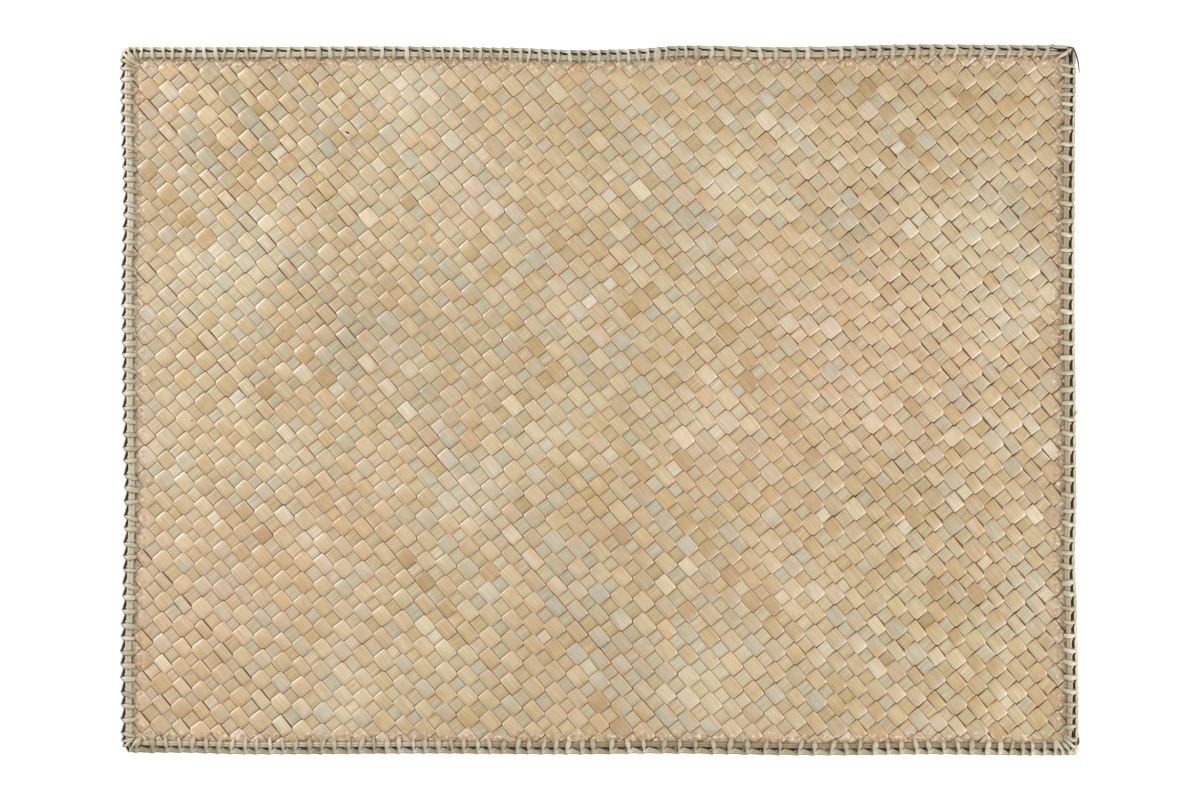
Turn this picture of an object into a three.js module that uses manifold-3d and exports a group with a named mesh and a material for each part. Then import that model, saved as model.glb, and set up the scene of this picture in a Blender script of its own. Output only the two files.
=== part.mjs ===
// A hand-plaited placemat. Flat leaf strips cross on the diagonal in a plain weave and make the panel.
// A flat split reed lies along each side on top of the panel's edge. A narrow leaf strip sews the reed
// down with a blanket stitch: its legs cross the reed, and its runs lie end on end around the outside.
// The mat lies flat. X is its length, Y its width, Z is up, and the origin is under its middle.
import * as THREE from 'three';
import { mergeVertices } from 'three/addons/utils/BufferGeometryUtils.js';
import Module from 'manifold-3d';

const wasm = await Module();
wasm.setup();

// Driving dimensions, in millimetres. An inset is a distance inwards from the mat's outer line.
const GAP = 0.3; // between pieces that touch on the real mat
const LEAF = 0.4; // thickness of a leaf strip

// The panel is thinner at its edge, where it is lifted off the table by the stitches under it.
const PANEL_THICKNESS = 1.8;
const PANEL_EDGE_INSET = 4.5;
const PANEL_EDGE_LOW = LEAF + 0.25;
const PANEL_EDGE_HIGH = 2.05;
const LIFT_STARTS = 16; // inset where the flat middle ends
const LIFT_ENDS = 9; // inset where the lifted border begins

const REED_WIDTH = 2.8;
const REED_HEIGHT = 1.55;
const REED_INSET = 4.5; // of its middle line
const REED_LOW = PANEL_EDGE_HIGH + GAP;
const REED_TOP = REED_LOW + REED_HEIGHT;
const REED_TAPER = 6; // length of a pared end
const REED_TIP_SHARE = 0.35; // width left at the tip, as a share
const REED_START = 4; // from the side before it
const REED_END = REED_INSET + REED_WIDTH / 2 + GAP; // from the side after it
const REED_STEPS = 36;

const RUN_LOW = 1.5;
const RUN_HIGH = 2.7;
const RUN_THICK = 2.6; // inset of a run's inner line beside its own leg
const RUN_THIN = 1.3; // and at its pointed end
const RUN_AT_CORNER = 2;
const POINT_OUT = 0.3; // how far a run's point stands out
const HEEL_IN = 0.3; // how far the run beside it lies back
const POINT_STEP = 0.2; // length between that point and heel

const LEG_WIDTH = 2.8;
const SADDLE = REED_WIDTH / 2 + GAP; // where a leg bends down, from the reed's middle line
const LEG_SHARE = 0.48; // of the pitch, where stitches are close
const LEG_LEAN = 0.22; // sideways for each millimetre inwards
const LEG_REACH = 7.4; // inset of its inner end
const REACH_SPREAD = 0.5; // how much that changes from leg to leg
const CORNER_CLEAR = 9.8; // no leg stands nearer to a corner
const PITCH_SPREAD = 0.12; // uneven spacing, as a share
const TURN = 2.4; // radians from one uneven stitch to the next

const SIDE_STEPS = 22;
const ARC_STEPS = 4;
const LEAST_RADIUS = 0.8;

// The four sides, clockwise from above. distance: from the origin to the side's mean line. radius: of the
// corner where it starts. uneven: how far the line strays outwards, at a share of the side's length.
// stitches: the pitch of the stitches, up to a length from the side's start.
const SIDES = [
  {
    name: 'top',
    outward: new THREE.Vector2(0, 1),
    distance: 166.8,
    radius: 3.8,
    uneven: [
      { at: 0.06, out: -0.2 },
      { at: 0.27, out: 0.2 },
      { at: 0.4, out: -0.4 },
      { at: 0.48, out: -1.6 },
      { at: 0.53, out: -1.2 },
      { at: 0.59, out: 0.6 },
      { at: 0.69, out: -0.2 },
      { at: 0.85, out: 1.1 },
      { at: 0.97, out: 0.7 },
    ],
    stitches: [
      { until: 58, pitch: 4.9 },
      { until: 88, pitch: 6.8 },
      { until: 145, pitch: 6 },
      { until: 268, pitch: 4.6 },
      { until: 334, pitch: 7.6 },
      { until: 450, pitch: 6.1 },
    ],
  },
  {
    name: 'right',
    outward: new THREE.Vector2(1, 0),
    distance: 224.7,
    radius: 3.8,
    uneven: [
      { at: 0.05, out: -0.2 },
      { at: 0.2, out: -0.7 },
      { at: 0.36, out: -0.7 },
      { at: 0.5, out: -0.2 },
      { at: 0.65, out: 0.2 },
      { at: 0.72, out: -0.6 },
      { at: 0.79, out: 0.3 },
      { at: 0.9, out: 1.1 },
    ],
    stitches: [
      { until: 28, pitch: 4.4 },
      { until: 225, pitch: 7.2 },
      { until: 305, pitch: 6.5 },
      { until: 334, pitch: 5 },
    ],
  },
  {
    name: 'bottom',
    outward: new THREE.Vector2(0, -1),
    distance: 167.2,
    radius: 1.9,
    uneven: [
      { at: 0.05, out: 0.7 },
      { at: 0.15, out: 0.2 },
      { at: 0.26, out: 0.7 },
      { at: 0.44, out: -0.2 },
      { at: 0.52, out: 0.2 },
      { at: 0.68, out: -0.2 },
      { at: 0.86, out: 0.2 },
      { at: 0.94, out: -0.6 },
    ],
    stitches: [
      { until: 35, pitch: 5.2 },
      { until: 112, pitch: 6.6 },
      { until: 220, pitch: 8 },
      { until: 450, pitch: 6.1 },
    ],
  },
  {
    name: 'left',
    outward: new THREE.Vector2(-1, 0),
    distance: 225.2,
    radius: 5.7,
    uneven: [
      { at: 0.07, out: 0.2 },
      { at: 0.14, out: 0.6 },
      { at: 0.21, out: -0.2 },
      { at: 0.35, out: -1.2 },
      { at: 0.53, out: -0.2 },
      { at: 0.67, out: 0.2 },
      { at: 0.78, out: -0.7 },
      { at: 0.92, out: 0.6 },
    ],
    stitches: [
      { until: 170, pitch: 6.4 },
      { until: 260, pitch: 6 },
      { until: 334, pitch: 5.2 },
    ],
  },
];

SIDES.forEach((side, i) => {
  side.before = SIDES[(i + 3) % 4];
  side.after = SIDES[(i + 1) % 4];
});

// How far a side strays outwards at a share of its length, smooth between the rows of its table.
function strays(side, at) {
  const rows = side.uneven;
  const next = rows.findIndex((row) => row.at > at);
  if (next === 0) {
    return rows[0].out;
  }
  if (next < 0) {
    return rows[rows.length - 1].out;
  }
  const a = rows[next - 1];
  const b = rows[next];
  return a.out + (b.out - a.out) * THREE.MathUtils.smoothstep(at, a.at, b.at);
}

const startReach = (side) => side.distance + strays(side, 0);
const endReach = (side) => side.distance + strays(side, 1);
const radiusAt = (side, inset) => Math.max(side.radius - inset, LEAST_RADIUS);

// A point beside a side: along is measured from the mat's middle, in the clockwise direction.
function sidePoint(side, along, inset) {
  const length = side.before.distance + side.after.distance;
  const reach = side.distance + strays(side, (along + side.before.distance) / length) - inset;
  return side.outward.clone().multiplyScalar(reach).addScaledVector(side.after.outward, along);
}

// The corner after a side, turned through the given angles.
function cornerPoints(side, inset, angles) {
  const { after } = side;
  const radius = radiusAt(after, inset);
  const centre = side.outward.clone().multiplyScalar(endReach(side) - inset - radius);
  centre.addScaledVector(after.outward, startReach(after) - inset - radius);
  return angles.map((angle) => {
    const point = centre.clone().addScaledVector(side.outward, radius * Math.cos(angle));
    return point.addScaledVector(after.outward, radius * Math.sin(angle));
  });
}

// Where the straight stretch of a side begins and ends, at an inset.
function straight(side, inset) {
  return {
    from: -endReach(side.before) + inset + radiusAt(side, inset),
    to: startReach(side.after) - inset - radiusAt(side.after, inset),
  };
}

// The mat's outer line moved inwards, as a closed ring with the same number of points at any inset.
function outline(inset) {
  const points = [];
  for (const side of SIDES) {
    const { from, to } = straight(side, inset);
    for (let i = 0; i <= SIDE_STEPS; i += 1) {
      points.push(sidePoint(side, THREE.MathUtils.lerp(from, to, i / SIDE_STEPS), inset));
    }
    const angles = [];
    for (let i = 1; i < ARC_STEPS; i += 1) {
      angles.push(((i / ARC_STEPS) * Math.PI) / 2);
    }
    points.push(...cornerPoints(side, inset, angles));
  }
  return points;
}

// A closed body through rings of points, each with a flat cap around the middle of its ring.
function loft(rings) {
  const size = rings[0].length;
  const positions = rings.flat().flatMap((p) => [p.x, p.y, p.z]);
  const index = [];
  for (let r = 0; r + 1 < rings.length; r += 1) {
    for (let i = 0; i < size; i += 1) {
      const a = r * size + i;
      const b = r * size + ((i + 1) % size);
      index.push(a, a + size, b, b, a + size, b + size);
    }
  }
  const first = positions.length / 3;
  for (const ring of [rings[0], rings[rings.length - 1]]) {
    const middle = new THREE.Vector3();
    ring.forEach((p) => middle.addScaledVector(p, 1 / size));
    positions.push(middle.x, middle.y, middle.z);
  }
  const start = (rings.length - 1) * size;
  for (let i = 0; i < size; i += 1) {
    const j = (i + 1) % size;
    index.push(first, i, j);
    index.push(first + 1, start + j, start + i);
  }
  const geometry = new THREE.BufferGeometry();
  geometry.setAttribute('position', new THREE.Float32BufferAttribute(positions, 3));
  geometry.setIndex(index);
  geometry.computeVertexNormals();
  return geometry;
}

// The panel's section, from the flat underside around its edge to the flat top.
const PANEL_SECTION = [
  { inset: LIFT_STARTS, height: 0 },
  { inset: LIFT_ENDS, height: PANEL_EDGE_LOW },
  { inset: PANEL_EDGE_INSET, height: PANEL_EDGE_LOW },
  { inset: PANEL_EDGE_INSET, height: PANEL_EDGE_HIGH },
  { inset: LIFT_ENDS, height: PANEL_EDGE_HIGH },
  { inset: LIFT_STARTS, height: PANEL_THICKNESS },
];

function panelGeometry() {
  return loft(PANEL_SECTION.map(({ inset, height }) => {
    return outline(inset).map((p) => new THREE.Vector3(p.x, p.y, height));
  }));
}

// A reed's section: flat below and crowned on top. across and up are shares of its width and height.
const REED_SECTION = [
  { across: -0.5, up: 0 },
  { across: 0.5, up: 0 },
  { across: 0.5, up: 0.6 },
  { across: 0.28, up: 1 },
  { across: -0.28, up: 1 },
  { across: -0.5, up: 0.6 },
];

function reedGeometry(side) {
  const from = -side.before.distance + REED_START;
  const to = side.after.distance - REED_END;
  const places = [];
  for (let i = 0; i <= REED_STEPS; i += 1) {
    places.push(THREE.MathUtils.lerp(from + REED_TAPER, to - REED_TAPER, i / REED_STEPS));
  }
  places.unshift(from);
  places.push(to);
  const rings = places.map((along) => {
    const end = Math.min(along - from, to - along) / REED_TAPER;
    const width = REED_WIDTH * THREE.MathUtils.lerp(REED_TIP_SHARE, 1, Math.min(end, 1));
    return REED_SECTION.map(({ across, up }) => {
      const p = sidePoint(side, along, REED_INSET + across * width);
      return new THREE.Vector3(p.x, p.y, REED_LOW + up * REED_HEIGHT);
    });
  });
  return loft(rings);
}

// Where the stitches of a side stand, with the pitch that holds there.
function stitches(side) {
  const places = [];
  const last = side.after.distance - CORNER_CLEAR;
  let along = -side.before.distance + CORNER_CLEAR;
  while (along < last) {
    const length = along + side.before.distance;
    const { pitch } = side.stitches.find((row) => length < row.until);
    places.push({ along, pitch, uneven: Math.sin(TURN * places.length) });
    along += pitch * (1 + PITCH_SPREAD * Math.sin(TURN * places.length));
  }
  return places;
}

// The outer run of a side, from the middle of one corner to the middle of the next. Each stitch's strip
// is thick beside its own leg and runs back to a point that stands out over the leg before it.
function runGeometry(side, places) {
  const quarter = Math.PI / 4;
  const half = (inset, after) => GAP / 2 / radiusAt(after, inset);
  const startAngles = (inset) => [quarter + half(inset, side), quarter * 1.5, quarter * 2];
  const endAngles = (inset) => [0, quarter * 0.5, quarter - half(inset, side.after)];
  const outer = cornerPoints(side.before, 0, startAngles(0));
  const inner = cornerPoints(side.before, RUN_AT_CORNER, startAngles(RUN_AT_CORNER));
  places.forEach(({ along, pitch }) => {
    const reach = legWidth(pitch) / 2;
    outer.push(sidePoint(side, along - POINT_STEP, HEEL_IN));
    outer.push(sidePoint(side, along, -POINT_OUT));
    inner.push(sidePoint(side, along + reach, RUN_THICK));
    inner.push(sidePoint(side, along + reach + POINT_STEP, RUN_THIN));
  });
  outer.push(...cornerPoints(side, 0, endAngles(0)));
  inner.push(...cornerPoints(side, RUN_AT_CORNER, endAngles(RUN_AT_CORNER)));
  const shape = new THREE.Shape([...outer, ...inner.reverse()]);
  const geometry = new THREE.ExtrudeGeometry(shape, {
    depth: RUN_HIGH - RUN_LOW,
    bevelEnabled: false,
  });
  return geometry.translate(0, 0, RUN_LOW);
}

const legWidth = (pitch) => Math.min(LEG_WIDTH, LEG_SHARE * pitch);

// One leg, seen from its side: out of the run, up and over the reed, and down on to the panel.
function legGeometry(side, { along, pitch, uneven }) {
  const reach = LEG_REACH + REACH_SPREAD * uneven;
  const under = REED_TOP + GAP;
  const root = RUN_HIGH - LEAF;
  const foot = PANEL_EDGE_HIGH + GAP;
  const profile = new THREE.Shape([
    new THREE.Vector2(RUN_THIN + LEAF, root),
    new THREE.Vector2(REED_INSET - SADDLE, under),
    new THREE.Vector2(REED_INSET + SADDLE, under),
    new THREE.Vector2(reach - LEAF, foot),
    new THREE.Vector2(reach, foot),
    new THREE.Vector2(REED_INSET + SADDLE + LEAF / 2, under + LEAF),
    new THREE.Vector2(REED_INSET - SADDLE - LEAF / 2, under + LEAF),
    new THREE.Vector2(RUN_THIN - LEAF / 2, root),
  ]);
  const width = legWidth(pitch);
  const geometry = new THREE.ExtrudeGeometry(profile, { depth: width, bevelEnabled: false });
  const tangent = new THREE.Vector3(side.after.outward.x, side.after.outward.y, 0);
  const inward = new THREE.Vector3(-side.outward.x, -side.outward.y, 0);
  const leaning = inward.clone().addScaledVector(tangent, -LEG_LEAN * (1 + uneven) * 0.5);
  const up = new THREE.Vector3(0, 0, 1);
  const start = sidePoint(side, along + width / 2, 0);
  const frame = new THREE.Matrix4().makeBasis(leaning, up, tangent.clone().negate());
  frame.setPosition(start.x, start.y, 0);
  return geometry.applyMatrix4(frame);
}

function toSolid(geometry) {
  geometry.deleteAttribute('normal');
  geometry.deleteAttribute('uv');
  const merged = mergeVertices(geometry);
  return new wasm.Manifold(new wasm.Mesh({
    numProp: 3,
    vertProperties: merged.attributes.position.array,
    triVerts: new Uint32Array(merged.index.array),
  }));
}

function toGeometry(solid) {
  const mesh = solid.getMesh();
  const geometry = new THREE.BufferGeometry();
  geometry.setAttribute('position', new THREE.BufferAttribute(mesh.vertProperties, 3));
  geometry.setIndex(new THREE.BufferAttribute(mesh.triVerts, 1));
  geometry.computeVertexNormals();
  return geometry;
}

function sewingGeometry(side) {
  const places = stitches(side);
  const run = toSolid(runGeometry(side, places));
  const legs = places.map((place) => toSolid(legGeometry(side, place)));
  return toGeometry(legs.reduce((whole, leg) => whole.add(leg), run));
}

const PANEL_LEAF = { color: 0xc8b392, roughness: 0.62, metalness: 0 };
const REED_LEAF = { color: 0xc4b593, roughness: 0.58, metalness: 0 };
const SEWING_LEAF = { color: 0xccc0a2, roughness: 0.6, metalness: 0 };

const placemat = new THREE.Group();

function addPiece(name, geometry, finish) {
  const piece = new THREE.Mesh(geometry, new THREE.MeshStandardMaterial(finish));
  piece.name = name;
  placemat.add(piece);
}

addPiece('plaited_panel', panelGeometry(), PANEL_LEAF);
for (const side of SIDES) {
  addPiece(`rim_reed_${side.name}`, reedGeometry(side), REED_LEAF);
  addPiece(`edge_sewing_${side.name}`, sewingGeometry(side), SEWING_LEAF);
}

export default placemat;
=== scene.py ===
import math
import random

import bmesh
import bpy
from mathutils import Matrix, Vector


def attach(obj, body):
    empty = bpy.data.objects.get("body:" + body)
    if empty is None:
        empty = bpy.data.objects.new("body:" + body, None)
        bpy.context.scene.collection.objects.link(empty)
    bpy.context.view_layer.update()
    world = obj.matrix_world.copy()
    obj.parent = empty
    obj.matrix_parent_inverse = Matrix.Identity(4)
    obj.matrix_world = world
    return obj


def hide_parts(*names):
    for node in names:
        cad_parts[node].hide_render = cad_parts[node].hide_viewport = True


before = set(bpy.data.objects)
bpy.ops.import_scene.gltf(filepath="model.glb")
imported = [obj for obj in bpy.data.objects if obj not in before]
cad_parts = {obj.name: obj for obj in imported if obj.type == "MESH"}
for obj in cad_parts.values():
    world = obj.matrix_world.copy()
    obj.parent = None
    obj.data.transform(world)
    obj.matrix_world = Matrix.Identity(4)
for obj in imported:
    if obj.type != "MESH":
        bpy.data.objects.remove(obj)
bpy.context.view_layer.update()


# The plaited panel. Flat strips of dried leaf, about seven millimetres wide, cross on the diagonal in a
# plain weave. Those that fall to the right are broad and stand proud as pillows, and those that rise to
# the right are narrow and lie flatter. It was plaited and trimmed by hand, so its sides stray a little.
MM = 0.001


class Side:
    """A side of the mat, clockwise from above, with the radius of the corner where it starts."""

    def __init__(self, name, outward, distance, radius, strays, stitches):
        self.name = name
        self.outward = Vector(outward)
        self.distance = distance  # from the middle of the mat, in millimetres as all of these
        self.radius = radius
        self.strays = strays  # share of the length, and how far outwards
        self.stitches = stitches  # length from the start, and the spacing of stitches up to there


SIDES = [
    Side(
        "top", (0, 1), 166.8, 3.8,
        [(0.06, -0.2), (0.27, 0.2), (0.4, -0.4), (0.48, -1.6), (0.53, -1.2), (0.59, 0.6), (0.69, -0.2),
         (0.85, 1.1), (0.97, 0.7)],
        [(58, 4.9), (88, 6.8), (145, 6), (268, 4.6), (334, 7.6), (450, 6.1)],
    ),
    Side(
        "right", (1, 0), 224.7, 3.8,
        [(0.05, -0.2), (0.2, -0.7), (0.36, -0.7), (0.5, -0.2), (0.65, 0.2), (0.72, -0.6), (0.79, 0.3),
         (0.9, 1.1)],
        [(28, 4.4), (225, 7.2), (305, 6.5), (334, 5)],
    ),
    Side(
        "bottom", (0, -1), 167.2, 1.9,
        [(0.05, 0.7), (0.15, 0.2), (0.26, 0.7), (0.44, -0.2), (0.52, 0.2), (0.68, -0.2), (0.86, 0.2),
         (0.94, -0.6)],
        [(35, 5.2), (112, 6.6), (220, 8), (450, 6.1)],
    ),
    Side(
        "left", (-1, 0), 225.2, 5.7,
        [(0.07, 0.2), (0.14, 0.6), (0.21, -0.2), (0.35, -1.2), (0.53, -0.2), (0.67, 0.2), (0.78, -0.7),
         (0.92, 0.6)],
        [(170, 6.4), (260, 6), (334, 5.2)],
    ),
]
for number, side in enumerate(SIDES):
    side.before = SIDES[number - 1]
    side.after = SIDES[(number + 1) % 4]


def smooth(t):
    t = min(max(t, 0.0), 1.0)
    return t * t * (3 - 2 * t)


def mixed(a, b, t):
    return a + (b - a) * t


def stray(side, share):
    """How far a side stands out from its mean line at a share of its length."""
    rows = side.strays
    if share <= rows[0][0]:
        return rows[0][1]
    for (at, out), (next_at, next_out) in zip(rows, rows[1:]):
        if share < next_at:
            return mixed(out, next_out, smooth((share - at) / (next_at - at)))
    return rows[-1][1]


def side_point(side, along, inset):
    """A point beside a side, in millimetres. along is measured clockwise from the middle of the mat."""
    length = side.before.distance + side.after.distance
    reach = side.distance + stray(side, (along + side.before.distance) / length) - inset
    return side.outward * reach + side.after.outward * along


SMALLEST_RADIUS = 0.8


def outline(inset, steps=60, arc_steps=4):
    """The outer line moved inwards, as a closed ring of points in millimetres, clockwise."""
    ring = []
    for side in SIDES:
        start = max(side.radius - inset, SMALLEST_RADIUS)
        end = max(side.after.radius - inset, SMALLEST_RADIUS)
        first = -(side.before.distance + stray(side.before, 1)) + inset + start
        last = side.after.distance + stray(side.after, 0) - inset - end
        for step in range(steps + 1):
            ring.append(side_point(side, mixed(first, last, step / steps), inset))
        centre = side.outward * (side.distance + stray(side, 1) - inset - end)
        centre += side.after.outward * (side.after.distance + stray(side.after, 0) - inset - end)
        for step in range(1, arc_steps):
            angle = step / arc_steps * math.pi / 2
            turned = side.outward * math.cos(angle) + side.after.outward * math.sin(angle)
            ring.append(centre + turned * end)
    return ring


class Wire:
    """A socket of a node tree. Sums on it add Math nodes, and node() adds a node of any kind."""

    def __init__(self, tree, socket=None):
        self.tree = tree
        self.socket = socket

    @staticmethod
    def pick(sockets, key):
        live = [socket for socket in sockets if socket.enabled]
        if isinstance(key, int):
            return live[key]
        return next(socket for socket in live if socket.name == key)

    def node(self, kind, inputs=None, out=0, stops=None, choices=None, **settings):
        made = self.tree.nodes.new(kind)
        for name, value in settings.items():
            setattr(made, name, value)
        if stops:
            while len(made.color_ramp.elements) < len(stops):
                made.color_ramp.elements.new(0.5)
            for element, (place, colour) in zip(made.color_ramp.elements, stops):
                element.position = place
                element.color = colour
        if choices:
            while len(made.index_switch_items) < len(choices):
                made.index_switch_items.new()
            inputs = {**inputs, **{str(i): value for i, value in enumerate(choices)}}
        for key, value in (inputs or {}).items():
            socket = self.pick(made.inputs, key)
            if isinstance(value, Wire):
                self.tree.links.new(value.socket, socket)
            else:
                socket.default_value = value
        return Wire(self.tree, self.pick(made.outputs, out)) if len(made.outputs) else None

    def other(self, name):
        """Another output of the same node."""
        return Wire(self.tree, self.pick(self.socket.node.outputs, name))

    def math(self, operation, *values):
        return self.node("ShaderNodeMath", dict(enumerate(values)), operation=operation)

    def __add__(self, value):
        return self.math("ADD", self, value)

    __radd__ = __add__

    def __mul__(self, value):
        return self.math("MULTIPLY", self, value)

    __rmul__ = __mul__

    def __sub__(self, value):
        return self.math("SUBTRACT", self, value)

    def __rsub__(self, value):
        return self.math("SUBTRACT", value, self)

    def __truediv__(self, value):
        return self.math("DIVIDE", self, value)

    def __pow__(self, value):
        return self.math("POWER", self, value)

    def __mod__(self, value):
        return self.math("FLOORED_MODULO", self, value)

    def __abs__(self):
        return self.math("ABSOLUTE", self)

    def __neg__(self):
        return self.math("MULTIPLY", self, -1)

    def floor(self):
        return self.math("FLOOR", self)

    def least(self, value):
        return self.math("MINIMUM", self, value)

    def most(self, value):
        return self.math("MAXIMUM", self, value)

    def ramp(self, start, end, low=0, high=1, smooth=True):
        """Goes from low to high as this value goes from start to end."""
        kind = "SMOOTHSTEP" if smooth else "LINEAR"
        values = {"Value": self, "From Min": start, "From Max": end, "To Min": low, "To Max": high}
        return self.node("ShaderNodeMapRange", values, interpolation_type=kind)

    def vector(self, x, y, z):
        return self.node("ShaderNodeCombineXYZ", {0: x, 1: y, 2: z})

    def parts(self):
        split = self.node("ShaderNodeSeparateXYZ", {0: self})
        return split, split.other("Y"), split.other("Z")

    def noise(self, x, y, z, detail=2.0, roughness=0.5):
        values = {"Vector": self.vector(x, y, z), "Scale": 1.0, "Detail": detail, "Roughness": roughness}
        return self.node("ShaderNodeTexNoise", values)

    def keep(self, geometry, name, value, kind="FLOAT", domain="POINT"):
        """The geometry with a value kept on it under a name."""
        values = {"Geometry": geometry, "Name": name, "Value": value}
        return self.node("GeometryNodeStoreNamedAttribute", values, data_type=kind, domain=domain)

    def kept(self, name, kind="FLOAT"):
        """A kept value, in a tree that makes a mesh."""
        return self.node("GeometryNodeInputNamedAttribute", {"Name": name}, data_type=kind)

    def moved(self, geometry, x, y, z):
        values = {"Geometry": geometry, "Position": self.vector(x, y, z)}
        return self.node("GeometryNodeSetPosition", values)

    def drop(self, geometry, *names):
        for name in names:
            geometry = self.node("GeometryNodeRemoveAttribute", {"Geometry": geometry, "Name": name})
        return geometry

    def seen(self, name):
        """A kept value, in a material."""
        return self.node("ShaderNodeAttribute", out="Fac", attribute_name=name)

    def tinted(self, base, colour, factor, blend="MIX"):
        values = {"Factor": factor, "A": base, "B": colour}
        return self.node("ShaderNodeMix", values, data_type="RGBA", blend_type=blend)


def new_tree(name, numbers, **inputs):
    """A node tree that makes a mesh, with named inputs: numbers, and others of some kind. Returns a Wire to
    build on and the inputs by name."""
    tree = bpy.data.node_groups.new(name, "GeometryNodeTree")
    tree.interface.new_socket("Geometry", in_out="INPUT", socket_type="NodeSocketGeometry")
    tree.interface.new_socket("Geometry", in_out="OUTPUT", socket_type="NodeSocketGeometry")
    for key, kind in {**dict.fromkeys(numbers, "Float"), **inputs}.items():
        tree.interface.new_socket(key, in_out="INPUT", socket_type=f"NodeSocket{kind}")
    given = tree.nodes.new("NodeGroupInput")
    return Wire(tree), {s.name: Wire(tree, s) for s in given.outputs if s.name}


def close_tree(net, geometry, material):
    """Ends a tree: real mesh, smooth faces, its material. Returns the tree's Wire."""
    geometry = net.node("GeometryNodeRealizeInstances", {0: geometry})
    geometry = net.node("GeometryNodeSetShadeSmooth", {"Geometry": geometry, "Shade Smooth": True})
    geometry = net.node("GeometryNodeSetMaterial", {"Geometry": geometry, "Material": material})
    net.node("NodeGroupOutput", {0: geometry})
    return net


def put(name, data):
    """A new object in the scene that holds a mesh, a lamp or a camera."""
    holder = bpy.data.objects.new(name, data)
    bpy.context.scene.collection.objects.link(holder)
    return holder


def grow(name, host, net, **values):
    """Runs a tree on a host mesh and gives back a plain object."""
    piece = put(name, host)
    modifier = piece.modifiers.new("grow", "NODES")
    modifier.node_group = net.tree
    for item in net.tree.interface.items_tree:
        if item.in_out == "INPUT" and item.name in values:
            modifier[item.identifier] = values[item.name]
    graph = bpy.context.evaluated_depsgraph_get()
    mesh = bpy.data.meshes.new_from_object(
        piece.evaluated_get(graph), preserve_all_data_layers=True, depsgraph=graph
    )
    mesh.name = name
    piece.modifiers.clear()
    piece.data = mesh
    return piece


def fitted(piece, slot, *nodes):
    """Puts a finished piece on the frame."""
    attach(piece, "root")
    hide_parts(*nodes)
    return piece


def swept(net, line, across, rise):
    """A strip along a line, with a cross section whose corners keep their places across the strip and up.
    The line's own place and heading are kept too."""
    line = net.keep(line, "middle", net.node("GeometryNodeInputPosition"), "FLOAT_VECTOR")
    line = net.keep(line, "heading", net.node("GeometryNodeInputTangent"), "FLOAT_VECTOR")
    corner = net.node("GeometryNodeInputIndex")
    ring = net.node("GeometryNodeCurvePrimitiveCircle", {"Resolution": len(rise), "Radius": MM})
    for name, values in (("across", across), ("rise", rise)):
        value = net.node("GeometryNodeIndexSwitch", {"Index": corner}, choices=values, data_type="FLOAT")
        ring = net.keep(ring, name, value)
    return net.node("GeometryNodeCurveToMesh", {"Curve": line, "Profile Curve": ring, "Fill Caps": True})


def srgb(red, green, blue):
    """A colour in the 0 to 255 of a screen, as the shader takes it."""
    return (*(((c / 255 + 0.055) / 1.055) ** 2.4 for c in (red, green, blue)), 1.0)


def new_material(name):
    material = bpy.data.materials.new(name)
    material.use_nodes = True
    return material, Wire(material.node_tree)


def finished(material, net, colour, rough, relief, depth):
    """Joins a colour, a roughness and a relief of some depth, in metres, to a material's shader."""
    bump = net.node("ShaderNodeBump", {"Height": relief, "Distance": depth, "Strength": 0.6}, out="Normal")
    shader = material.node_tree.nodes["Principled BSDF"]
    for name, wire in (("Base Color", colour), ("Roughness", rough), ("Normal", bump)):
        net.tree.links.new(wire.socket, shader.inputs[name])
    return material


MIDDLE = 0.97 * MM  # height of the weave's middle plane where the panel lies flat
MIDDLE_AT_EDGE = 1.35 * MM  # and where the stitches lift it
LIFT_FROM = 6.5 * MM
LIFT_TO = 13.5 * MM
PANEL_INSET = 2.5
LEAF_THICK = 0.4 * MM
PAST_LINE = 3.2 * MM  # how far past the panel's line a strip's middle may still lie
FALLING = {"pitch": 6.42 * MM, "angle": math.radians(-50.7), "seed": 3.0, "stray": 1.0, "swing": 0.11}
RISING = {"pitch": 7.35 * MM, "angle": math.radians(43.8), "seed": 71.0, "stray": 0.8, "swing": 0.05}
# One tree makes either set of strips. A strip is a row of stations, eight for every two strips that it
# crosses: five where it lies on top, three where it lies below. It dives close beside the strip it crosses.
STATION_AT = (-0.955, -0.36, 0, 0.36, 0.955, 1.04, 1, 0.96)
STATION_SHIFT = (1, 0, 0, 0, -1, -1, 0, 1)
STATION_UP = (1, 1, 1, 1, 1, -1, -1, -1)
STATION_NEAR_END = (-1, -0.7, 0, 0.7, 1, 1, 0, -1)
RING_UP = (0, 1, 1, 1, 1, 0, -1)
# The weave was pulled wider in the middle of the mat, more so towards its lower side, and it leans.
WARP_SPAN = 0.09
WARP_X = 0.10
WARP_Y = -0.06
WARP_FALL = 0.3 / 0.167
WARP_SHEAR = 0.2
WAVER = 2.2 * MM


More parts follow.
